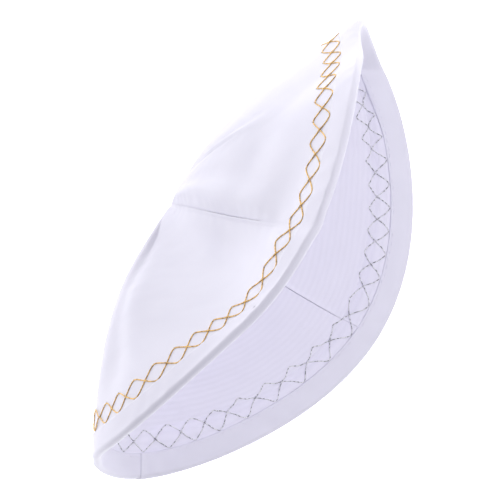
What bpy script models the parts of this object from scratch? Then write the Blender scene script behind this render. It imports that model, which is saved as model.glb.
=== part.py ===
"""A cloth kippah lying softly folded on one wall: four satin gores, four lining gores and a bound edge.

The origin is on the surface that the cap lies on, under the middle of its bounding box. The crown's
point is at the back, toward +Y, and the mouth opens toward -Y. One wall lies on the surface and the
other stands over it, so the two ends of the fold are corners at -X and +X.
A place on the cap is a turn, in degrees round the crown's point, and a share of the way from that point
to the edge. Turn 0 is the corner at -X, 90 the standing wall, 180 the corner at +X, 270 the lying wall.
Seams run down the cap at those four turns.
"""

import bmesh
import bpy
import numpy as np

# Size and pose of the folded cap, in metres
HALF_SPAN = 0.088  # from the middle to a folded corner
MOUTH_REACH = 0.090  # from the crown's point to the edge of the lying wall
STANDING_HEIGHT = 0.104  # the standing wall's edge over the surface
PANEL_LENGTH = 0.092  # one gore, from the crown's point to the edge, along the cloth
CROWN_HEIGHT = 0.013  # the crown's point over the surface
CROWN_TILT = 53.0  # degrees that the cloth rises from the crown's point toward the standing wall

# Cloth
SATIN = 0.001
LINING = 0.001
BINDING = 0.001
BINDING_WIDTH = 0.0085  # from the edge to the binding's hem
GAP = 0.0003  # between two pieces of cloth
SEAM_SINK = 0.0006  # the seams draw the cloth in by this
SEAM_PULL = 0.004  # and over this distance to each side
HEM_RISE = 0.005  # the lying wall lifts onto its binding over this distance
HEM_MARGIN = 0.002  # and is up by this distance before the hem
SETTLE = 0.0004  # how softly the lying wall bends onto the surface
FOLD_FADE = 0.25  # share over which the folds fade toward the edge and toward the crown's point

# Mesh
SEAM_TURNS = (0.0, 90.0, 180.0, 270.0)
GORE_NAMES = ("low_corner_standing", "high_corner_standing", "high_corner_lying", "low_corner_lying")
COLUMNS = 14  # faces across a gore
ROWS = 11  # faces along a gore, from the crown's point to the binding's hem
CORNER_BIAS = 1.25  # columns crowd toward the folded corners by this power
EDGE_POINTS = 5  # points round the binding's folded edge
ARC_STEPS = 40  # straight steps by which a panel line is measured
TURN_STEP = 0.4  # degrees, for slopes round the cap
SHARE_STEP = 0.004  # share, for slopes along a panel line
SHARP_ANGLE = 40.0  # degrees between faces that meet in a sharp edge

# One row a panel line. The edge and the guide point that bends the line toward it are at x, y and z as
# shares of HALF_SPAN, MOUTH_REACH and STANDING_HEIGHT. The line leaves the crown's point straight for a
# share of PANEL_LENGTH, its shoulder. Heights under 0 lie pressed flat on the surface.
PANEL_LINES = (
    # turn,  edge x,    y,    z,  guide x,    y,    z, shoulder
    (0.0, -0.99, -0.22, 0.25, -0.63, -0.05, 0.13, 0.38),
    (15.0, -0.93, -0.18, 0.45, -0.49, 0.04, 0.19, 0.37),
    (50.0, -0.55, -0.21, 0.80, -0.42, -0.11, 0.48, 0.18),
    (70.0, -0.27, -0.24, 0.93, -0.38, -0.26, 0.78, 0.08),
    (90.0, 0.03, -0.23, 1.00, -0.03, -0.16, 0.74, 0.07),
    (130.0, 0.61, -0.13, 0.83, 0.27, 0.01, 0.61, 0.22),
    (148.0, 0.75, -0.16, 0.63, 0.22, 0.09, 0.68, 0.26),
    (165.0, 0.87, -0.19, 0.41, 0.22, 0.20, 0.58, 0.18),
    (180.0, 0.99, -0.21, 0.23, 0.27, 0.08, 0.16, 0.20),
    (195.0, 0.99, -0.35, 0.06, 0.65, -0.16, 0.01, 0.43),
    (230.0, 0.65, -0.77, 0.00, 0.45, -0.51, 0.01, 0.37),
    (270.0, 0.05, -0.98, -0.03, 0.01, -0.67, -0.01, 0.41),
    (310.0, -0.58, -0.76, -0.01, -0.36, -0.52, 0.00, 0.42),
    (345.0, -0.97, -0.37, 0.07, -0.59, -0.17, 0.04, 0.40),
)

# One row a fold or dent of the standing wall: its middle, the way it runs (0 toward the edge, 90 round
# the cap), then half its length, half its width and its height as shares of PANEL_LENGTH. A height
# under 0 is a dent.
FOLDS = (
    # turn, share, heading, half length, half width, height
    (141.0, 0.56, 110.0, 0.28, 0.36, -0.022),
    (107.0, 0.62, 80.0, 0.36, 0.08, -0.010),
    (82.0, 0.54, 0.0, 0.15, 0.10, -0.026),
    (92.0, 0.77, 60.0, 0.28, 0.12, -0.028),
    (50.0, 0.36, 10.0, 0.24, 0.12, -0.024),
    (93.0, 0.65, 150.0, 0.38, 0.09, 0.028),
    (27.0, 0.60, -20.0, 0.20, 0.11, 0.026),
    (22.0, 0.70, 155.0, 0.50, 0.12, -0.028),
    (33.0, 0.38, 0.0, 0.50, 0.16, -0.026),
    (160.0, 0.61, 0.0, 0.26, 0.16, -0.026),
)


def spline_through(places, values):
    """A smooth closed curve through values at places, in degrees, as a function of the turn."""
    places = np.asarray(places)
    values = np.asarray(values)
    count = len(places)
    spans = np.diff(np.append(places, places[0] + 360.0))
    rises = (np.roll(values, -1, axis=0) - values) / spans[:, None]
    matrix = np.zeros((count, count))
    for i in range(count):
        matrix[i, i - 1] += spans[i - 1]
        matrix[i, i] += 2.0 * (spans[i - 1] + spans[i])
        matrix[i, (i + 1) % count] += spans[i]
    bends = np.linalg.solve(matrix, 6.0 * (rises - np.roll(rises, 1, axis=0)))

    def curve(turns):
        turns = np.mod(turns, 360.0)
        i = np.searchsorted(places, turns, side="right") - 1
        after = (i + 1) % count
        span = spans[i][:, None]
        left = (turns - places[i])[:, None]
        right = span - left
        cubic = (bends[i] * right**3 + bends[after] * left**3) / (6.0 * span)
        return (
            cubic
            + (values[i] / span - bends[i] * span / 6.0) * right
            + (values[after] / span - bends[after] * span / 6.0) * left
        )

    return curve


LINE_TABLE = np.array(PANEL_LINES)
LINES = spline_through(LINE_TABLE[:, 0], LINE_TABLE[:, 1:])


def smooth_step(x):
    x = np.clip(x, 0.0, 1.0)
    return x * x * (3.0 - 2.0 * x)


def bare_wall(turns, shares):
    """Points of the cap before its folds and before it lies down."""
    frame = np.array((HALF_SPAN, MOUTH_REACH, STANDING_HEIGHT))
    lines = LINES(turns)
    angle = np.radians(turns)
    tilt = np.radians(CROWN_TILT)
    ahead = np.stack((-np.cos(angle), np.cos(tilt) * np.sin(angle), np.sin(tilt) * np.sin(angle)), axis=1)
    crown = np.array((0.0, 0.0, CROWN_HEIGHT))
    shoulder = crown + PANEL_LENGTH * lines[:, 6:7] * ahead
    share = shares[:, None]
    rest = 1.0 - share
    return (
        rest**3 * crown
        + 3.0 * share * rest**2 * shoulder
        + 3.0 * share**2 * rest * lines[:, 3:6] * frame
        + share**3 * lines[:, 0:3] * frame
    )


def facing(surface, turns, shares):
    """Directions into the cap, square to a surface, and the surface's slope round the cap."""
    along = surface(turns, shares + SHARE_STEP) - surface(turns, shares - SHARE_STEP)
    around = surface(turns + TURN_STEP, shares) - surface(turns - TURN_STEP, shares)
    inward = np.cross(around, along)
    inward /= np.linalg.norm(inward, axis=1, keepdims=True)
    return inward, around / np.radians(2.0 * TURN_STEP)


def relief(turns, shares):
    """How far the folds and seams stand out of the bare wall."""
    height = np.zeros(len(turns))
    for turn, share, heading, half_length, half_width, rise in FOLDS:
        girth = PANEL_LENGTH * np.sin(share * np.pi / 2.0)
        across = np.radians(turns - turn) * girth
        ahead = (shares - share) * PANEL_LENGTH
        way = np.radians(heading)
        length = (ahead * np.cos(way) + across * np.sin(way)) / (half_length * PANEL_LENGTH)
        width = (across * np.cos(way) - ahead * np.sin(way)) / (half_width * PANEL_LENGTH)
        height += rise * PANEL_LENGTH * np.exp(-(length**2) - width**2)
    height *= smooth_step((1.0 - shares) / FOLD_FADE) * smooth_step(shares / FOLD_FADE)
    off_seam = np.abs(np.mod(turns + 45.0, 90.0) - 45.0)
    off_seam = np.radians(off_seam) * shares * PANEL_LENGTH
    height -= SEAM_SINK * np.exp(-((off_seam / SEAM_PULL) ** 2)) * smooth_step(shares * 4.0)
    return height


def wall(turns, shares):
    """The cap's outer satin face, with its folds, lying on the surface."""
    inward, _ = facing(bare_wall, turns, np.maximum(shares, 2.0 * SHARE_STEP))
    points = bare_wall(turns, shares) - inward * relief(turns, shares)[:, None]
    lifted = BINDING_WIDTH + HEM_MARGIN
    inset = (1.0 - shares) * PANEL_LENGTH
    floor = (BINDING + GAP) * smooth_step((lifted + HEM_RISE - inset) / HEM_RISE)
    over = points[:, 2] - floor
    soft = 2.0 * SETTLE
    settled = np.where(over < -soft, 0.0, (over + soft) ** 2 / (4.0 * soft))
    points[:, 2] = floor + np.where(over > soft, over, settled)
    return points


def under_skin(turns, shares, depths):
    """Points at a depth under the satin's outer face, none of them below the surface that the cap lies on."""
    inward, _ = facing(wall, turns, np.maximum(shares, 2.0 * SHARE_STEP))
    points = wall(turns, shares) + inward * depths[:, None]
    points[:, 2] = np.maximum(points[:, 2], 0.0)
    return points


def share_at(turns, insets):
    """The share of a panel line that lies at a distance in from the edge, along the cloth."""
    steps = np.linspace(1.0, 0.7, ARC_STEPS)
    line = wall(np.repeat(turns, ARC_STEPS), np.tile(steps, len(turns))).reshape(len(turns), ARC_STEPS, 3)
    lengths = np.cumsum(np.linalg.norm(np.diff(line, axis=1), axis=2), axis=1)
    lengths = np.hstack((np.zeros((len(turns), 1)), lengths))
    return np.array([np.interp(inset, length, steps) for inset, length in zip(insets, lengths)])


def columns_between(first, last):
    """Turns across a gore, crowded toward the folded corner at one of its sides."""
    spread = np.linspace(0.0, 1.0, COLUMNS + 1)
    if first % 180.0 == 0.0:
        spread = spread**CORNER_BIAS
    else:
        spread = 1.0 - (1.0 - spread) ** CORNER_BIAS
    return first + spread * (last - first)


def gore(name, first, outer, inner, material, collection):
    """One gore from the crown's point to inside the binding, between two depths under the satin's face."""
    bm = bmesh.new()
    bmesh.ops.create_grid(bm, x_segments=COLUMNS, y_segments=ROWS + 1, size=0.5)
    skin = bmesh.ops.extrude_face_region(bm, geom=bm.faces[:])["geom"]
    raised = {v for v in skin if isinstance(v, bmesh.types.BMVert)}

    turns = columns_between(first, first + 90.0)
    cloth_end = BINDING + 2.0 * GAP
    places = np.array([(v.co.x + 0.5, v.co.y + 0.5) for v in bm.verts])
    column = np.rint(places[:, 0] * COLUMNS).astype(int)
    row = np.rint(places[:, 1] * (ROWS + 1)).astype(int)
    turn = turns[column]
    hem = share_at(turn, np.full(len(turn), BINDING_WIDTH))
    end = share_at(turn, np.full(len(turn), cloth_end))
    share = np.where(row > ROWS, end, hem * row / ROWS)

    # The sides keep half a gap to their seams, and meet in one point near the crown's point
    _, around = facing(wall, turn, np.maximum(share, 2.0 * SHARE_STEP))
    clear = np.degrees(0.5 * GAP / np.linalg.norm(around, axis=1))
    middle = first + 45.0
    turn = middle + (turn - middle) * (1.0 - clear / 45.0)
    tip = row == 0
    turn[tip] = middle
    share[tip] = GAP / (3.0 * PANEL_LENGTH * LINES(np.array([middle]))[0, 6])
    depth = np.array([inner if v in raised else outer for v in bm.verts])
    for vert, point in zip(bm.verts, under_skin(turn, share, depth)):
        vert.co = point
    bmesh.ops.remove_doubles(bm, verts=bm.verts, dist=GAP / 100.0)
    return finish(bm, name, material, collection)


def binding_section():
    """The binding's cut end, as distances in from the edge and depths under the satin's face."""
    hem = BINDING_WIDTH
    lining_face = SATIN + GAP + LINING
    outer = -GAP - BINDING
    inner = lining_face + GAP + BINDING
    radius = (inner - outer) / 2.0
    seat = BINDING + GAP
    bends = np.linspace(0.0, np.pi, EDGE_POINTS)
    edge = [(radius - radius * np.sin(a), (outer + inner) / 2.0 - radius * np.cos(a)) for a in bends]
    return [(hem, outer), *edge, (hem, inner), (hem, lining_face + GAP), (seat, lining_face + GAP),
            (seat, -GAP), (hem, -GAP)]


def binding(name, material, collection):
    """The tape folded over the whole edge, swept round the cap."""
    turns = np.concatenate([columns_between(first, first + 90.0)[:-1] for first in SEAM_TURNS])
    section = np.array(binding_section())
    bm = bmesh.new()
    bmesh.ops.create_grid(bm, x_segments=len(turns), y_segments=len(section), size=0.5)
    places = np.array([(v.co.x + 0.5, v.co.y + 0.5) for v in bm.verts])
    turn = turns[np.rint(places[:, 0] * len(turns)).astype(int) % len(turns)]
    inset, depth = section[np.rint(places[:, 1] * len(section)).astype(int) % len(section)].T
    for vert, point in zip(bm.verts, under_skin(turn, share_at(turn, inset), depth)):
        vert.co = point
    bmesh.ops.remove_doubles(bm, verts=bm.verts, dist=GAP / 100.0)
    return finish(bm, name, material, collection)


def finish(bm, name, material, collection):
    bmesh.ops.recalc_face_normals(bm, faces=bm.faces)
    mesh = bpy.data.meshes.new(name)
    bm.to_mesh(mesh)
    bm.free()
    mesh.shade_smooth()
    mesh.set_sharp_from_angle(angle=np.radians(SHARP_ANGLE))
    mesh.materials.append(material)
    obj = bpy.data.objects.new(name, mesh)
    collection.objects.link(obj)
    return obj


def centred_empty(pieces, name, collection):
    """The empty that carries the pieces, placed so that their box stands centred on the origin."""
    corners = np.array([corner for piece in pieces for corner in piece.bound_box])
    low = corners.min(axis=0)
    high = corners.max(axis=0)
    empty = bpy.data.objects.new(name, None)
    empty.location = (-(low[0] + high[0]) / 2.0, -(low[1] + high[1]) / 2.0, -low[2])
    collection.objects.link(empty)
    for piece in pieces:
        piece.parent = empty


def cloth_material(name, colour, roughness, sheen):
    material = bpy.data.materials.new(name)
    material.use_nodes = True
    shader = material.node_tree.nodes["Principled BSDF"]
    shader.inputs["Base Color"].default_value = (*colour, 1.0)
    shader.inputs["Roughness"].default_value = roughness
    shader.inputs["Metallic"].default_value = 0.0
    shader.inputs["Sheen Weight"].default_value = sheen
    return material


def main():
    for obj in list(bpy.data.objects):
        bpy.data.objects.remove(obj, do_unlink=True)
    collection = bpy.data.collections.new("kippah")
    bpy.context.scene.collection.children.link(collection)
    satin = cloth_material("white_satin", (0.86, 0.85, 0.92), 0.32, 0.3)
    woven = cloth_material("white_lining", (0.83, 0.82, 0.90), 0.75, 0.2)
    tape = cloth_material("white_tape", (0.85, 0.84, 0.92), 0.55, 0.2)
    pieces = [binding("edge_binding", tape, collection)]
    for first, where in zip(SEAM_TURNS, GORE_NAMES):
        pieces.append(gore("crown_panel_" + where, first, 0.0, SATIN, satin, collection))
        lining_face = SATIN + GAP
        pieces.append(gore("lining_panel_" + where, first, lining_face, lining_face + LINING, woven, collection))
    centred_empty(pieces, "kippah_centre", collection)


main()
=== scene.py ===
"""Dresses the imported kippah: fine cloth over the CAD frame, a thread lattice, cloth materials, soft light
and the camera of the photograph.

The wall of the cap is the same as in the CAD: a place on it is a turn, in degrees round the crown's
point, and a share of the way from that point to the edge. Fine wrinkles, seams and stitches are added.
"""

import bpy
import numpy as np
from mathutils import Matrix, Vector


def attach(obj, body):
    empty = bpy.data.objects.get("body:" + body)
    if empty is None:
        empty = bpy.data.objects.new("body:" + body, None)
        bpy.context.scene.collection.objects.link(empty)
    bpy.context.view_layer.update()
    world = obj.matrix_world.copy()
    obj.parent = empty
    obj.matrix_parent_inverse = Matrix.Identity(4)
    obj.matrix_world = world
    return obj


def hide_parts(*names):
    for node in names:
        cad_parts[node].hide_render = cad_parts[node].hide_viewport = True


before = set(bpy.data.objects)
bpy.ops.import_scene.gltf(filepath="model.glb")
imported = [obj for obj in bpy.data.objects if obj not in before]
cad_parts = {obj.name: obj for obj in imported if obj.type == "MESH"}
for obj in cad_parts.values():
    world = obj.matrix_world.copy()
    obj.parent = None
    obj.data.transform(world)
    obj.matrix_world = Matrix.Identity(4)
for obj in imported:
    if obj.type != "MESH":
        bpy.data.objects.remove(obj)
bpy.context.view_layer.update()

# Size and pose of the folded cap, in metres, as in the CAD
CROWN_AT = (-0.0006, 0.0422, 0.0)  # where the crown's point stands in the CAD's frame
HALF_SPAN = 0.088
MOUTH_REACH = 0.090
STANDING_HEIGHT = 0.104
PANEL_LENGTH = 0.092
CROWN_HEIGHT = 0.013
CROWN_TILT = 53.0
SATIN = 0.001
LINING = 0.001
BINDING = 0.001
BINDING_WIDTH = 0.0085
GAP = 0.0003
SEAM_SINK = 0.0006
SEAM_PULL = 0.004
HEM_RISE = 0.005
HEM_MARGIN = 0.002
SETTLE = 0.0004
FOLD_FADE = 0.25  # share over which the folds fade toward the edge and toward the crown's point
SEAM_TURNS = (0.0, 90.0, 180.0, 270.0)
GORE_NAMES = ("low_corner_standing", "high_corner_standing", "high_corner_lying", "low_corner_lying")
ARC_STEPS = 60
TURN_STEP = 0.4
SHARE_STEP = 0.004

PANEL_LINES = (
    # turn,  edge x,    y,    z,  guide x,    y,    z, shoulder
    (0.0, -0.99, -0.22, 0.25, -0.63, -0.05, 0.13, 0.38),
    (15.0, -0.93, -0.18, 0.45, -0.49, 0.04, 0.19, 0.37),
    (50.0, -0.55, -0.21, 0.80, -0.42, -0.11, 0.48, 0.18),
    (70.0, -0.27, -0.24, 0.93, -0.38, -0.26, 0.78, 0.08),
    (90.0, 0.03, -0.23, 1.00, -0.03, -0.16, 0.74, 0.07),
    (130.0, 0.61, -0.13, 0.83, 0.27, 0.01, 0.61, 0.22),
    (148.0, 0.75, -0.16, 0.63, 0.22, 0.09, 0.68, 0.26),
    (165.0, 0.87, -0.19, 0.41, 0.22, 0.20, 0.58, 0.18),
    (180.0, 0.99, -0.21, 0.23, 0.27, 0.08, 0.16, 0.20),
    (195.0, 0.99, -0.35, 0.06, 0.65, -0.16, 0.01, 0.43),
    (230.0, 0.65, -0.77, 0.00, 0.45, -0.51, 0.01, 0.37),
    (270.0, 0.05, -0.98, -0.03, 0.01, -0.67, -0.01, 0.41),
    (310.0, -0.58, -0.76, -0.01, -0.36, -0.52, 0.00, 0.42),
    (345.0, -0.97, -0.37, 0.07, -0.59, -0.17, 0.04, 0.40),
)
FOLDS = (
    # turn, share, heading, half length, half width, height
    (141.0, 0.56, 110.0, 0.28, 0.36, -0.022),
    (107.0, 0.62, 80.0, 0.36, 0.08, -0.010),
    (82.0, 0.54, 0.0, 0.15, 0.10, -0.026),
    (92.0, 0.77, 60.0, 0.28, 0.12, -0.028),
    (50.0, 0.36, 10.0, 0.24, 0.12, -0.024),
    (93.0, 0.65, 150.0, 0.38, 0.09, 0.028),
    (27.0, 0.60, -20.0, 0.20, 0.11, 0.026),
    (22.0, 0.70, 155.0, 0.50, 0.12, -0.028),
    (33.0, 0.38, 0.0, 0.50, 0.16, -0.026),
    (160.0, 0.61, 0.0, 0.26, 0.16, -0.026),
)

# Fine mesh
GORE_COLUMNS = 150
GORE_ROWS = 110
SEAM_CROWDING = 1.7  # columns crowd toward the seams by this power
BINDING_STATIONS = 520
THREAD_SIDES = 8
SEAM_CLEAR = 0.00004  # between the two sides of a seam
SEAM_DROP = 0.0003  # how far the other gore sinks under it
SEAM_ROLL = 0.00026  # how far the upper gore's rolled edge stands over the seam
PUCKER = 0.00007  # height of the small puckers beside a seam
PUCKER_PITCH = 0.0046
RIPPLE = 0.00003  # height of the cloth's faint waves

# Embroidered lattice: two threads that cross once a cell, beside the binding
LATTICE_INSET = 0.0125
LATTICE_REACH = 0.0036  # from the middle of the lattice to its corners
GOLD_RADIUS = 0.00021
SILVER_RADIUS = 0.00015
LATTICE_CELLS = (
    # turn, cells counted so far
    (10.0, 0),
    (24.4, 2),
    (40.9, 4),
    (55.8, 6),
    (69.3, 8),
    (82.7, 10),
    (94.4, 12),
    (107.1, 14),
    (121.8, 16),
    (143.0, 18),
    (163.0, 20),
    (181.0, 22),
    (197.0, 24),
    (211.5, 26),
    (222.5, 28),
    (234.0, 30),
    (245.5, 32),
    (258.5, 34),
    (277.5, 36),
    (295.5, 38),
    (312.5, 40),
    (325.5, 42),
    (340.0, 44),
    (370.0, 48),
)

# Camera, as distances from a target near the cap's middle
TARGET = (0.0, -0.035, 0.030)
ELEVATION = 71.58
ROLL = 85.44
AZIMUTH = -142.6
DISTANCE = 0.98813
PIXELS_PER_METRE = 3050.0
MIDDLE = (271.97, 261.9)  # the pixel of the target
IMAGE_SIZE = 500.0


def spline_through(places, values):
    """A smooth closed curve through values at places, in degrees, as a function of the turn."""
    places = np.asarray(places)
    values = np.asarray(values)
    count = len(places)
    spans = np.diff(np.append(places, places[0] + 360.0))
    rises = (np.roll(values, -1, axis=0) - values) / spans[:, None]
    matrix = np.zeros((count, count))
    for i in range(count):
        matrix[i, i - 1] += spans[i - 1]
        matrix[i, i] += 2.0 * (spans[i - 1] + spans[i])
        matrix[i, (i + 1) % count] += spans[i]
    bends = np.linalg.solve(matrix, 6.0 * (rises - np.roll(rises, 1, axis=0)))

    def curve(turns):
        turns = np.mod(turns, 360.0)
        i = np.searchsorted(places, turns, side="right") - 1
        after = (i + 1) % count
        span = spans[i][:, None]
        left = (turns - places[i])[:, None]
        right = span - left
        cubic = (bends[i] * right**3 + bends[after] * left**3) / (6.0 * span)
        return (
            cubic
            + (values[i] / span - bends[i] * span / 6.0) * right
            + (values[after] / span - bends[after] * span / 6.0) * left
        )

    return curve


LINE_TABLE = np.array(PANEL_LINES)
LINES = spline_through(LINE_TABLE[:, 0], LINE_TABLE[:, 1:])


def smooth_step(x):
    x = np.clip(x, 0.0, 1.0)
    return x * x * (3.0 - 2.0 * x)


def bump(x):
    """A soft hump of height 1 at x = 0, about as wide as x = 1 to each side."""
    return np.exp(-np.square(x))


def bare_wall(turns, shares):
    """Points of the cap before its folds and before it lies down."""
    size = np.array((HALF_SPAN, MOUTH_REACH, STANDING_HEIGHT))
    lines = LINES(turns)
    angle = np.radians(turns)
    tilt = np.radians(CROWN_TILT)
    ahead = np.stack((-np.cos(angle), np.cos(tilt) * np.sin(angle), np.sin(tilt) * np.sin(angle)), axis=1)
    crown = np.array((0.0, 0.0, CROWN_HEIGHT))
    shoulder = crown + PANEL_LENGTH * lines[:, 6:7] * ahead
    share = shares[:, None]
    rest = 1.0 - share
    return (
        rest**3 * crown
        + 3.0 * share * rest**2 * shoulder
        + 3.0 * share**2 * rest * lines[:, 3:6] * size
        + share**3 * lines[:, 0:3] * size
    )


def facing(surface, turns, shares):
    """Directions into the cap, square to a surface, and the surface's slope round the cap."""
    along = surface(turns, shares + SHARE_STEP) - surface(turns, shares - SHARE_STEP)
    around = surface(turns + TURN_STEP, shares) - surface(turns - TURN_STEP, shares)
    inward = np.cross(around, along)
    inward /= np.linalg.norm(inward, axis=1, keepdims=True)
    return inward, around / np.radians(2.0 * TURN_STEP)


def relief(turns, shares):
    """How far the folds and seams stand out of the bare wall."""
    height = np.zeros(len(turns))
    for turn, share, heading, half_length, half_width, rise in FOLDS:
        girth = PANEL_LENGTH * np.sin(share * np.pi / 2.0)
        across = np.radians(turns - turn) * girth
        ahead = (shares - share) * PANEL_LENGTH
        way = np.radians(heading)
        length = (ahead * np.cos(way) + across * np.sin(way)) / (half_length * PANEL_LENGTH)
        width = (across * np.cos(way) - ahead * np.sin(way)) / (half_width * PANEL_LENGTH)
        height += rise * PANEL_LENGTH * np.exp(-(length**2) - width**2)
    height *= smooth_step((1.0 - shares) / FOLD_FADE) * smooth_step(shares / FOLD_FADE)
    off_seam = np.abs(np.mod(turns + 45.0, 90.0) - 45.0)
    off_seam = np.radians(off_seam) * shares * PANEL_LENGTH
    height -= SEAM_SINK * bump(off_seam / SEAM_PULL) * smooth_step(shares * 4.0)
    return height


def ripples(turns, shares):
    """Faint waves in the cloth, fading toward the binding and the crown's point."""
    angle = np.radians(turns)
    girth = 9.0 * shares
    wave = np.sin(7.0 * angle + 3.0 * girth + 0.7) * np.sin(5.0 * girth - 2.0 * angle)
    wave += 0.6 * np.sin(13.0 * angle - 4.0 * girth + 2.1) * np.sin(8.0 * girth + 3.0 * angle + 1.3)
    wave += 0.4 * np.sin(23.0 * angle + 6.0 * girth) * np.sin(11.0 * girth - 5.0 * angle + 0.4)
    return RIPPLE * wave * smooth_step(shares * 3.0) * smooth_step((1.0 - shares) * 6.0)


def wall(turns, shares):
    """The cap's outer satin face, with its folds, lying on the surface."""
    inward, _ = facing(bare_wall, turns, np.maximum(shares, 2.0 * SHARE_STEP))
    rise = relief(turns, shares) + ripples(turns, shares)
    points = bare_wall(turns, shares) - inward * rise[:, None]
    lifted = BINDING_WIDTH + HEM_MARGIN
    inset = (1.0 - shares) * PANEL_LENGTH
    floor = (BINDING + GAP) * smooth_step((lifted + HEM_RISE - inset) / HEM_RISE)
    over = points[:, 2] - floor
    soft = 2.0 * SETTLE
    settled = np.where(over < -soft, 0.0, (over + soft) ** 2 / (4.0 * soft))
    points[:, 2] = floor + np.where(over > soft, over, settled)
    return points


def under_skin(turns, shares, depths):
    """Points at a depth under the satin's outer face, in the CAD's frame, none of them below the surface."""
    inward, _ = facing(wall, turns, np.maximum(shares, 2.0 * SHARE_STEP))
    points = wall(turns, shares) + inward * depths[:, None] + np.array(CROWN_AT)
    points[:, 2] = np.maximum(points[:, 2], 0.0)
    return points


def share_at(turns, insets):
    """The share of a panel line that lies at a distance in from the edge, along the cloth."""
    steps = np.linspace(1.0, 0.6, ARC_STEPS)
    lines, place = np.unique(turns, return_inverse=True)
    line = wall(np.repeat(lines, ARC_STEPS), np.tile(steps, len(lines))).reshape(len(lines), ARC_STEPS, 3)
    lengths = np.cumsum(np.linalg.norm(np.diff(line, axis=1), axis=2), axis=1)
    lengths = np.hstack((np.zeros((len(lines), 1)), lengths))
    return np.array([np.interp(inset, lengths[i], steps) for inset, i in zip(insets, place)])


def quads(index, closed_rows=False, closed_columns=False):
    """Faces of a grid of vertex numbers. Corners that share a vertex are dropped."""
    if closed_rows:
        index = np.vstack((index, index[:1]))
    if closed_columns:
        index = np.hstack((index, index[:, :1]))
    corners = np.stack((index[:-1, :-1], index[:-1, 1:], index[1:, 1:], index[1:, :-1]), axis=-1)
    faces = []
    for face in corners.reshape(-1, 4).tolist():
        face = list(dict.fromkeys(face))
        if len(face) > 2:
            faces.append(face)
    return faces


def mesh_piece(name, points, faces, cloth_places, material, replaced=()):
    """A piece from points and faces. cloth_places are its flat places in millimetres, for the weave."""
    mesh = bpy.data.meshes.new(name)
    mesh.from_pydata(points.tolist(), [], faces)
    flat = mesh.uv_layers.new(name="cloth")
    corners = np.zeros(len(mesh.loops), dtype=np.int32)
    mesh.loops.foreach_get("vertex_index", corners)
    flat.data.foreach_set("uv", cloth_places[corners].astype(np.float32).ravel())
    mesh.shade_smooth()
    mesh.materials.append(material)
    obj = bpy.data.objects.new(name, mesh)
    bpy.context.scene.collection.objects.link(obj)
    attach(obj, "root")
    if replaced:
        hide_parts(*replaced)
    return obj


def seam_spread(count):
    """Shares across a gore, crowded toward its two seams."""
    spread = np.linspace(-1.0, 1.0, count + 1)
    return 0.5 + 0.5 * np.sign(spread) * (1.0 - (1.0 - np.abs(spread)) ** SEAM_CROWDING)


def seam_relief(turns, shares, first, around, roll_first, roll_last):
    """The rolled edges of a gore at its two seams, and the puckers beside them."""
    size = np.linalg.norm(around, axis=1)
    height = np.zeros(len(turns))
    strength = smooth_step(shares * 6.0)
    run = shares * PANEL_LENGTH
    for seam, rolled in ((first, roll_first), (first + 90.0, roll_last)):
        off = np.abs(np.radians(turns - seam)) * size
        raised = bump((off - 0.0003) / 0.0009) * SEAM_ROLL
        if not rolled:
            raised = bump(off / 0.0042) * -SEAM_DROP
        beat = np.sin(2.0 * np.pi * run / PUCKER_PITCH + 1.7 * np.sin(run * 310.0) + seam)
        puckers = PUCKER * beat * bump((off - 0.0022) / 0.0024)
        height += (raised + puckers) * strength
    return height


def gore(name, first, outer, inner, visible_outside, material, rolls, columns, rows, replaced):
    """One gore as a closed cloth shell, from the crown's point to inside the binding."""
    spread = seam_spread(columns)
    cloth_end = BINDING + 2.0 * GAP
    turn, step = np.meshgrid(first + 90.0 * spread, np.arange(rows + 1) / rows)
    turn = turn.ravel()
    step = step.ravel()
    end = np.tile(share_at(first + 90.0 * spread, np.full(columns + 1, cloth_end)), rows + 1)
    share = end * step

    _, around = facing(wall, turn, np.maximum(share, 2.0 * SHARE_STEP))
    middle = first + 45.0
    clear = np.degrees(0.5 * SEAM_CLEAR / np.linalg.norm(around, axis=1))
    turn = middle + (turn - middle) * (1.0 - np.minimum(clear, 44.0) / 45.0)
    fine = seam_relief(turn, share, first, around, *rolls)
    pressed = LATTICE_INSET + LATTICE_REACH
    fine *= smooth_step(((1.0 - share) * PANEL_LENGTH - pressed) / 0.004) * 0.8 + 0.2
    out_depth = outer - (fine if visible_outside else -0.3 * np.minimum(fine, 0.0))
    in_depth = inner + (fine if not visible_outside else 0.0)
    thin = 0.00012
    in_depth = np.maximum(in_depth, out_depth + thin)

    tip = np.arange(len(turn)) < columns + 1
    turn[tip] = middle
    share[tip] = 0.0005
    points = np.vstack((under_skin(turn, share, out_depth), under_skin(turn, share, in_depth)))

    count = (rows + 1) * (columns + 1)
    skin = np.arange(count).reshape(rows + 1, columns + 1)
    skin[0, :] = skin[0, 0]
    lower = skin + count
    faces = quads(skin)
    faces += [face[::-1] for face in quads(lower)]
    for rim in (skin[:, 0], skin[:, -1][::-1], skin[-1, :]):
        faces += [face[::-1] for face in quads(np.stack((rim, rim + count)))]

    size = np.linalg.norm(facing(wall, turn, np.maximum(share, 2.0 * SHARE_STEP))[1], axis=1)
    across = np.radians(turn - middle) * size * 1000.0
    flat = np.stack((across, share * PANEL_LENGTH * 1000.0), axis=1)
    points, faces, flat = without_loose(points, faces, np.vstack((flat, flat)))
    return mesh_piece(name, points, faces, flat, material, replaced)


def without_loose(points, faces, flat):
    """Drops the points that no face uses."""
    used = np.unique(np.concatenate([np.array(face) for face in faces]))
    new_number = np.full(len(points), -1)
    new_number[used] = np.arange(len(used))
    faces = [new_number[face].tolist() for face in faces]
    return points[used], faces, flat[used]


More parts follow.
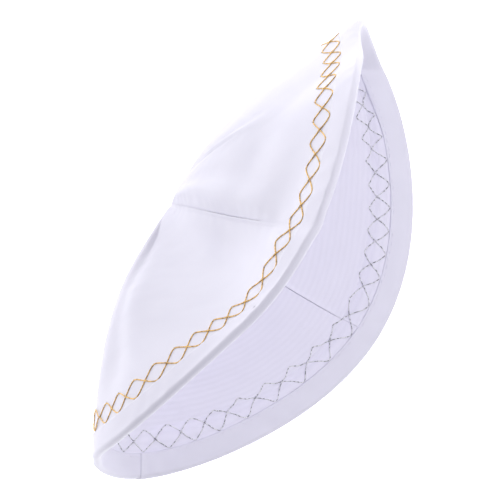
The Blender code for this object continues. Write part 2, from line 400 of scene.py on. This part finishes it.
def run_round(inset):
    """Turns round the cap twice, and the run along the ring at an inset to each of them."""
    turns = np.linspace(0.0, 360.0, 721)
    points = wall(turns, share_at(turns, np.full(len(turns), inset)))
    run = np.concatenate(((0.0,), np.cumsum(np.linalg.norm(np.diff(points, axis=0), axis=1))))
    return np.concatenate((turns, turns[1:] + 360.0)), np.concatenate((run, run[1:] + run[-1]))


def ring_turns(count, inset):
    """Turns at equal steps round the ring at an inset, from turn 0."""
    turns, run = run_round(inset)
    steps = np.arange(count) * run[720] / count
    return np.interp(steps, run, turns)


JOIN_TURN = 337.5  # where the tape's upper end lies over its lower end
JOIN_LENGTH = 16.0  # degrees over which the overlap fades
JOIN_RISE = 0.0003
TAPE_FACE = 0.0003  # how far the thin tape stands over the satin and the lining
HEM_INSETS = np.linspace(BINDING_WIDTH, 0.0018, 15)
THREAD_GAP = 0.00005


def binding_section():
    """Half of the binding's cut end: insets and depths of its outer face."""
    lining_face = SATIN + GAP + LINING
    outer = -TAPE_FACE
    inner = lining_face + TAPE_FACE
    radius = (inner - outer) / 2.0
    middle = (outer + inner) / 2.0
    hem = BINDING_WIDTH
    round_hem = 0.00012
    places = [(hem + round_hem, outer + round_hem)]
    for inset in HEM_INSETS:
        places.append((inset, outer))
    for a in np.linspace(0.0, np.pi, 13):
        places.append((radius - radius * np.sin(a), middle - radius * np.cos(a)))
    for inset in HEM_INSETS[::-1]:
        places.append((inset, inner))
    places.append((hem + round_hem, inner - round_hem))
    places += [(hem, lining_face + THREAD_GAP), (BINDING + GAP, lining_face + THREAD_GAP)]
    places += [(BINDING + GAP, -THREAD_GAP), (hem, -THREAD_GAP)]
    return np.array(places)


def binding(name, material, replaced):
    turns = ring_turns(BINDING_STATIONS, 0.004)
    join = np.array((JOIN_TURN, JOIN_TURN + 0.05))
    turns = np.sort(np.concatenate((turns, join)))
    section = binding_section()
    outer_count = len(section) - 4
    turn = np.repeat(turns, len(section))
    inset, depth = np.tile(section, (len(turns), 1)).T
    number = np.tile(np.arange(len(section)), len(turns))
    seen = number < outer_count

    outer = -TAPE_FACE
    inner = SATIN + GAP + LINING + TAPE_FACE
    middle = (outer + inner) / 2.0
    radius = (inner - outer) / 2.0
    side = np.where(depth > middle, 1.0, -1.0)
    edge = np.clip((depth - middle) / radius, -1.0, 1.0)

    run = np.radians(turn) * 0.083
    overlap = np.mod(JOIN_TURN - turn, 360.0)
    raised = np.where(overlap < JOIN_LENGTH, JOIN_RISE * smooth_step(1.0 - overlap / JOIN_LENGTH), 0.0)
    hem_near = bump((BINDING_WIDTH - inset) / 0.0016)
    pucker = 0.00005 * np.sin(2.0 * np.pi * run / 0.0031 + 2.0 * np.sin(run * 240.0)) * hem_near
    soft = 0.00010 * np.sin(run * 420.0 + 3.0 * np.sin(run * 130.0)) * np.sin(inset * 500.0)
    proud = np.where(seen, raised + pucker + soft, 0.0)
    flank = np.clip((inset - 0.0002) / radius, 0.0, 1.0)
    depth = depth + side * proud * flank
    inset = inset - np.where(seen, raised * (1.0 - flank), 0.0)

    share = share_at(turn, np.maximum(inset, 0.0))
    _, slope = facing(wall, turn, share)
    along = wall(turn, share + SHARE_STEP) - wall(turn, share - SHARE_STEP)
    along /= np.linalg.norm(along, axis=1, keepdims=True)
    points = under_skin(turn, share, depth) + along * np.maximum(-inset, 0.0)[:, None]
    points[:, 2] = np.maximum(points[:, 2], 0.0)
    index = np.arange(len(points)).reshape(len(turns), len(section))
    faces = quads(index, closed_rows=True, closed_columns=True)
    around = np.tile(np.cumsum(np.concatenate(((0.0,), np.linalg.norm(np.diff(section, axis=0), axis=1)))), len(turns))
    flat = np.stack((run * 1000.0, around * 1000.0), axis=1)
    return mesh_piece(name, points, faces, flat, material, replaced)


def tube(points, up, radius, closed):
    """Points and faces of a round thread along points. up is the cloth's facing at each of them."""
    if closed:
        ahead = np.roll(points, -1, axis=0) - np.roll(points, 1, axis=0)
    else:
        ahead = np.gradient(points, axis=0)
    ahead /= np.linalg.norm(ahead, axis=1, keepdims=True)
    side = np.cross(ahead, up)
    side /= np.linalg.norm(side, axis=1, keepdims=True)
    top = np.cross(side, ahead)
    angles = np.linspace(0.0, 2.0 * np.pi, THREAD_SIDES, endpoint=False)
    radius = np.broadcast_to(radius, len(points))
    ring = np.cos(angles)[None, :, None] * top[:, None, :] + np.sin(angles)[None, :, None] * side[:, None, :]
    skin = points[:, None, :] + ring * radius[:, None, None]
    index = np.arange(len(points) * THREAD_SIDES).reshape(len(points), THREAD_SIDES)
    faces = quads(index, closed_rows=closed, closed_columns=True)
    if not closed:
        faces += [index[0].tolist(), index[-1][::-1].tolist()]
    run = np.concatenate(((0.0,), np.cumsum(np.linalg.norm(np.diff(points, axis=0), axis=1)))) * 1000.0
    flat = np.stack(np.broadcast_arrays(angles[None, :] / (2.0 * np.pi), run[:, None]), axis=-1)
    return skin.reshape(-1, 3), faces, flat.reshape(-1, 2)


def joined(parts):
    """One set of points, faces and flat places from several."""
    points, faces, flats = [], [], []
    count = 0
    for part_points, part_faces, part_flat in parts:
        points.append(part_points)
        faces += [[number + count for number in face] for face in part_faces]
        flats.append(part_flat)
        count += len(part_points)
    return np.vstack(points), faces, np.vstack(flats)


LATTICE_TURNS, LATTICE_RUN = run_round(LATTICE_INSET)


def lattice_turns(cells):
    """Turns at counts of cells round the ring."""
    table = np.array(LATTICE_CELLS, dtype=float)
    table_run = np.interp(table[:, 0], LATTICE_TURNS, LATTICE_RUN)
    wanted = table[0, 1] + np.mod(cells - table[0, 1], table[-1, 1])
    return np.interp(np.interp(wanted, table[:, 1], table_run), LATTICE_RUN, LATTICE_TURNS)


CELLS = LATTICE_CELLS[-1][1]


def lattice_strand(phase, cells, sharpness, radius, face_depth, outside, closed):
    """One thread of the lattice, over the satin or over the lining."""
    beat = np.sin(np.pi * (cells + phase))
    zigzag = np.arcsin(sharpness * beat) / np.arcsin(sharpness)
    inset = LATTICE_INSET + LATTICE_REACH * zigzag
    turn = lattice_turns(cells)
    share = share_at(turn, inset)
    out = -1.0 if outside else 1.0
    crossing = np.mod(cells + 0.5, 2.0) > 1.0
    over = crossing if phase == 0.0 else ~crossing
    near_crossing = bump(np.sin(np.pi * cells) / 0.22)
    lift = radius * 0.55 + np.where(over, 1.15, 0.0) * radius * near_crossing
    depth = face_depth + out * lift
    points = under_skin(turn, share, depth)
    points[:, 2] = np.maximum(points[:, 2], radius)
    inward, _ = facing(wall, turn, share)
    return tube(points, inward * out, radius, closed)


def lattice(name, sharpness, radius, face_depth, outside, material):
    cells = np.arange(0.0, CELLS, 1.0 / 26.0)
    parts = [lattice_strand(phase, cells, sharpness, radius, face_depth, outside, True) for phase in (0.0, 1.0)]
    points, faces, flat = joined(parts)
    return mesh_piece(name, points, faces, flat, material)


def stitches(name, marks, length, radius, material):
    """Short stitches, each at a turn, an inset, a depth and a heading (0 toward the edge, 90 round)."""
    marks = np.array(marks)
    turn, inset, depth, heading, outward = marks.T
    share = share_at(turn, inset)
    inward, around = facing(wall, turn, share)
    centre = under_skin(turn, share, depth)
    along = wall(turn, share + SHARE_STEP) - wall(turn, share - SHARE_STEP)
    along /= np.linalg.norm(along, axis=1, keepdims=True)
    around /= np.linalg.norm(around, axis=1, keepdims=True)
    way = np.radians(heading)[:, None]
    ahead = along * np.cos(way) + around * np.sin(way)
    parts = []
    steps = np.linspace(-1.0, 1.0, 7)
    for i in range(len(marks)):
        up = inward[i] * outward[i]
        points = centre[i] + ahead[i] * (steps * length / 2.0)[:, None] - up * (steps**2 * radius * 1.1)[:, None]
        points[:, 2] = np.maximum(points[:, 2], radius)
        thickness = radius * np.sqrt(np.maximum(1.0 - steps**4, 0.12))
        parts.append(tube(points, np.tile(up, (len(steps), 1)), thickness, False))
    points, faces, flat = joined(parts)
    return mesh_piece(name, points, faces, flat, material)


class Nodes:
    """Adds and joins a material's nodes."""

    def __init__(self, name, colour, roughness):
        self.material = bpy.data.materials.new(name)
        self.material.use_nodes = True
        self.material.diffuse_color = (*colour, 1.0)
        self.tree = self.material.node_tree
        self.shader = self.tree.nodes["Principled BSDF"]
        self.set(self.shader, {"Base Color": (*colour, 1.0), "Roughness": roughness})

    def set(self, node, values):
        for socket, value in values.items():
            if isinstance(value, bpy.types.NodeSocket):
                self.tree.links.new(value, node.inputs[socket])
            else:
                node.inputs[socket].default_value = value
        return node

    def add(self, kind, values=(), **settings):
        node = self.tree.nodes.new(kind)
        for key, value in settings.items():
            setattr(node, key, value)
        return self.set(node, dict(values))

    def places(self, scale, turn=0.0):
        """The cloth's flat places in millimetres, times a scale."""
        flat = self.add("ShaderNodeUVMap", uv_map="cloth").outputs["UV"]
        node = self.add("ShaderNodeMapping", {"Vector": flat, "Scale": scale, "Rotation": (0.0, 0.0, turn)})
        return node.outputs["Vector"]

    def noise(self, scale, detail=2.0, roughness=0.5, turn=0.0):
        values = {"Vector": self.places(scale, turn), "Scale": 1.0, "Detail": detail, "Roughness": roughness}
        return self.add("ShaderNodeTexNoise", values).outputs["Fac"]

    def wave(self, scale, distortion, direction="X"):
        values = {"Vector": self.places(scale), "Scale": 1.0, "Distortion": distortion, "Detail": 1.0}
        node = self.add("ShaderNodeTexWave", values, wave_type="BANDS", bands_direction=direction)
        return node.outputs["Fac"]

    def math(self, operation, first, second, clamp=False):
        node = self.add("ShaderNodeMath", {0: first, 1: second}, operation=operation, use_clamp=clamp)
        return node.outputs["Value"]

    def range(self, value, low, high, to_low, to_high):
        values = {"Value": value, "From Min": low, "From Max": high, "To Min": to_low, "To Max": to_high}
        return self.add("ShaderNodeMapRange", values).outputs["Result"]

    def mix(self, factor, first, second):
        node = self.add("ShaderNodeMix", data_type="RGBA")
        self.set(node, {0: factor, 6: first, 7: second})
        return node.outputs[2]

    def bump(self, height, distance, strength=1.0, under=None):
        values = {"Height": height, "Distance": distance, "Strength": strength}
        if under is not None:
            values["Normal"] = under
        return self.add("ShaderNodeBump", values).outputs["Normal"]


def satin_material():
    n = Nodes("white_satin", (0.86, 0.85, 0.90), 0.36)
    tangent = n.add("ShaderNodeTangent", direction_type="UV_MAP", uv_map="cloth").outputs["Tangent"]
    grain = n.noise((3.2, 3.2, 1.0), 3.0, 0.65)
    floats = n.noise((7.0, 0.8, 1.0), 2.0, 0.6)
    clouds = n.noise((0.05, 0.07, 1.0), 2.0)
    tint = n.mix(n.range(clouds, 0.35, 0.65, 0.0, 1.0), (0.755, 0.74, 0.85, 1.0), (0.725, 0.71, 0.825, 1.0))
    colour = n.mix(n.range(grain, 0.3, 0.7, 0.0, 0.5), tint, (0.82, 0.81, 0.90, 1.0))
    weave = n.bump(floats, 0.00002, 0.8)
    fine = n.bump(grain, 0.00005, 0.8, weave)
    n.set(n.shader, {
        "Base Color": colour,
        "Roughness": n.range(grain, 0.3, 0.7, 0.30, 0.46),
        "Normal": fine,
        "Tangent": tangent,
        "Anisotropic": 0.55,
        "Specular IOR Level": 0.9,
        "Sheen Weight": 0.15,
        "Sheen Roughness": 0.45,
    })
    return n.material


def lining_material():
    n = Nodes("white_lining", (0.83, 0.82, 0.90), 0.75)
    ribs = n.wave((0.157, 0.157, 1.0), 0.35, "Y")
    threads = n.noise((1.2, 6.0, 1.0), 2.0, 0.6)
    clouds = n.noise((0.06, 0.06, 1.0), 2.0)
    tint = n.mix(n.range(clouds, 0.35, 0.65, 0.0, 1.0), (0.87, 0.85, 0.965, 1.0), (0.85, 0.83, 0.95, 1.0))
    # Painted shade: the colour darkens where the ribs are low, in the grooves between them.
    colour = n.mix(n.range(ribs, 0.0, 1.0, 0.25, 0.0), tint, (0.78, 0.765, 0.88, 1.0))
    rib_relief = n.bump(ribs, 0.00008, 0.6)
    fine = n.bump(threads, 0.00005, 0.7, rib_relief)
    n.set(n.shader, {
        "Base Color": colour,
        "Roughness": n.range(threads, 0.3, 0.7, 0.6, 0.8),
        "Normal": fine,
        "Specular IOR Level": 0.35,
        "Sheen Weight": 0.2,
        "Sheen Roughness": 0.5,
    })
    return n.material


def tape_material():
    n = Nodes("white_tape", (0.85, 0.84, 0.92), 0.5)
    threads = n.noise((0.9, 7.0, 1.0), 2.0, 0.6)
    grain = n.noise((3.0, 3.0, 1.0), 2.0, 0.6)
    clouds = n.noise((0.09, 0.2, 1.0), 2.0)
    tint = n.mix(n.range(clouds, 0.35, 0.65, 0.0, 1.0), (0.795, 0.78, 0.885, 1.0), (0.78, 0.765, 0.87, 1.0))
    weave = n.bump(threads, 0.00003, 0.6)
    fine = n.bump(grain, 0.00004, 0.5, weave)
    n.set(n.shader, {
        "Base Color": tint,
        "Roughness": n.range(grain, 0.3, 0.7, 0.42, 0.58),
        "Normal": fine,
        "Specular IOR Level": 0.45,
        "Sheen Weight": 0.2,
        "Sheen Roughness": 0.5,
    })
    return n.material


def metal_thread(name, bright, painted_shade_colour, roughness, metallic, painted_shade_share, pitch):
    """A metallic yarn: bright, with painted shade in darkened stretches and in the grooves of its twist, standing in
    for where it turns away from the light.
    """
    n = Nodes(name, bright, roughness)
    spiral = n.wave((6.2832, 1.3, 1.0), 0.6, "DIAGONAL")
    stretches = n.noise((0.3, 1.0 / pitch, 1.0), 2.0, 0.6)
    # Painted shade: the colour darkens in random stretches along the yarn and in the grooves of its twist.
    painted_shade_mask = n.range(stretches, 0.62 - painted_shade_share, 0.66 - painted_shade_share, 1.0, 0.0)
    painted_shade_tone = n.math("MULTIPLY", n.range(spiral, 0.0, 1.0, 0.75, 1.0), n.math("SUBTRACT", 1.0, painted_shade_mask), clamp=True)
    colour = n.mix(painted_shade_tone, (*painted_shade_colour, 1.0), (*bright, 1.0))
    relief_normal = n.bump(spiral, 0.00005, 0.7)
    n.set(n.shader, {
        "Base Color": colour,
        "Metallic": metallic,
        "Roughness": n.range(stretches, 0.3, 0.7, roughness, roughness + 0.15),
        "Normal": relief_normal,
    })
    return n.material


def floor_material():
    n = Nodes("pale_floor", (0.95, 0.95, 0.95), 0.9)
    n.set(n.shader, {"Specular IOR Level": 0.0, "Emission Color": (1.0, 1.0, 1.0, 1.0), "Emission Strength": 1.02})
    return n.material


def area_light(name, place, aim, size, power, colour):
    light = bpy.data.lights.new(name, "AREA")
    light.shape = "RECTANGLE"
    light.size, light.size_y = size
    light.energy = power
    light.color = colour
    obj = bpy.data.objects.new(name, light)
    obj.location = place
    obj.rotation_euler = (Vector(aim) - Vector(place)).to_track_quat("-Z", "Y").to_euler()
    bpy.context.scene.collection.objects.link(obj)
    return obj


def view_axes():
    """The camera's right, up and back directions."""
    azimuth, elevation, roll = np.radians((AZIMUTH, ELEVATION, ROLL))
    back = np.array((
        np.sin(azimuth) * np.cos(elevation),
        -np.cos(azimuth) * np.cos(elevation),
        np.sin(elevation),
    ))
    level = np.array((np.cos(azimuth), np.sin(azimuth), 0.0))
    rise = np.cross(back, level)
    right = np.cos(roll) * level + np.sin(roll) * rise
    up = -np.sin(roll) * level + np.cos(roll) * rise
    return right, up, back


def camera():
    right, up, back = view_axes()
    target = np.array(TARGET) + np.array(CROWN_AT)
    data = bpy.data.cameras.new("photo_camera")
    data.sensor_width = 36.0
    data.sensor_fit = "HORIZONTAL"
    data.lens = PIXELS_PER_METRE * DISTANCE / IMAGE_SIZE * data.sensor_width
    data.shift_x = -(MIDDLE[0] - IMAGE_SIZE / 2.0) / IMAGE_SIZE
    data.shift_y = (MIDDLE[1] - IMAGE_SIZE / 2.0) / IMAGE_SIZE
    data.clip_start = 0.05
    data.clip_end = 20.0
    obj = bpy.data.objects.new("photo_camera", data)
    turned = Matrix((right, up, back)).transposed().to_4x4()
    obj.matrix_world = Matrix.Translation(target + DISTANCE * back) @ turned
    bpy.context.scene.collection.objects.link(obj)
    bpy.context.scene.camera = obj


def room():
    """Floor, soft light and white surroundings."""
    scene = bpy.context.scene
    mesh = bpy.data.meshes.new("floor")
    half = 3.0
    mesh.from_pydata([(-half, -half, -0.0002), (half, -half, -0.0002), (half, half, -0.0002),
                      (-half, half, -0.0002)], [], [(0, 1, 2, 3)])
    mesh.materials.append(floor_material())
    floor = bpy.data.objects.new("floor", mesh)
    scene.collection.objects.link(floor)

    world = bpy.data.worlds.new("studio")
    world.use_nodes = True
    background = world.node_tree.nodes["Background"]
    background.inputs["Color"].default_value = (0.90, 0.89, 1.0, 1.0)
    background.inputs["Strength"].default_value = 0.265
    scene.world = world

    right, up, back = view_axes()
    middle = np.array((0.0, 0.0, 0.03))
    white = (1.0, 1.0, 1.0)
    area_light("key", middle + 0.88 * right + 0.66 * back, middle, (0.6, 0.6), 6.2, white)
    area_light("top", middle + 0.30 * up - 0.05 * right + 0.20 * back, middle, (0.25, 0.25), 0.19, white)
    area_light("front", middle + 0.15 * up + 0.65 * back, middle, (0.5, 0.5), 0.95, white)
    scene.view_settings.view_transform = "Standard"
    scene.view_settings.look = "None"


def hem_marks(depth, outward, inset, pitch, seed):
    """Places of a hem's stitches round the binding."""
    random = np.random.default_rng(seed)
    turns = ring_turns(int(round(0.515 / pitch)), inset)
    slack = random.uniform(-1.0, 1.0, (3, len(turns)))
    return [
        (turn + 0.08 * a, inset + 0.00012 * b, depth, 90.0 + 5.0 * c, outward)
        for turn, a, b, c in zip(turns, *slack)
    ]


def corner_marks(depth, outward):
    """Places of the short loops where the two threads of the lattice lock at its corners."""
    marks = []
    for turn in lattice_turns(np.arange(CELLS) + 0.5):
        for side in (-1.0, 1.0):
            marks.append((turn, LATTICE_INSET + side * (LATTICE_REACH + 0.0001), depth, 0.0, outward))
    return marks


def main():
    satin = satin_material()
    lining = lining_material()
    tape = tape_material()
    gold = metal_thread("gold_thread", (1.00, 0.66, 0.21), (0.58, 0.36, 0.13), 0.30, 0.6, 0.16, 1.6)
    silver = metal_thread("silver_thread", (0.98, 0.98, 1.00), (0.36, 0.36, 0.39), 0.26, 0.4, 0.16, 1.3)
    gold_face = 0.0
    silver_face = SATIN + GAP + LINING

    for first, where in zip(SEAM_TURNS, GORE_NAMES):
        rolls = (False, True) if where in ("low_corner_standing", "high_corner_lying") else (False, False)
        node = "crown_panel_" + where
        shell = gore("satin_" + where, first, 0.0, SATIN, True, satin, rolls,
                     GORE_COLUMNS, GORE_ROWS, (node,))
        node = "lining_panel_" + where
        shell = gore("woven_" + where, first, SATIN + GAP, silver_face, False, lining, (False, True),
                     100, 80, (node,))
    edge = binding("folded_tape", tape, ("edge_binding",))

    lattice("gold_lattice", 0.88, GOLD_RADIUS, gold_face, True, gold)
    lattice("silver_lattice", 0.992, SILVER_RADIUS, silver_face, False, silver)
    stitches("gold_side_loops", corner_marks(gold_face - 0.0001, -1.0), 0.0011, 0.00016, silver)
    inner_face = silver_face + TAPE_FACE + 0.00003
    stitches("inner_hem_stitches", hem_marks(inner_face, 1.0, BINDING_WIDTH - 0.0009, 0.0029, 4),
             0.0019, 0.00012, tape)

    camera()
    room()


main()
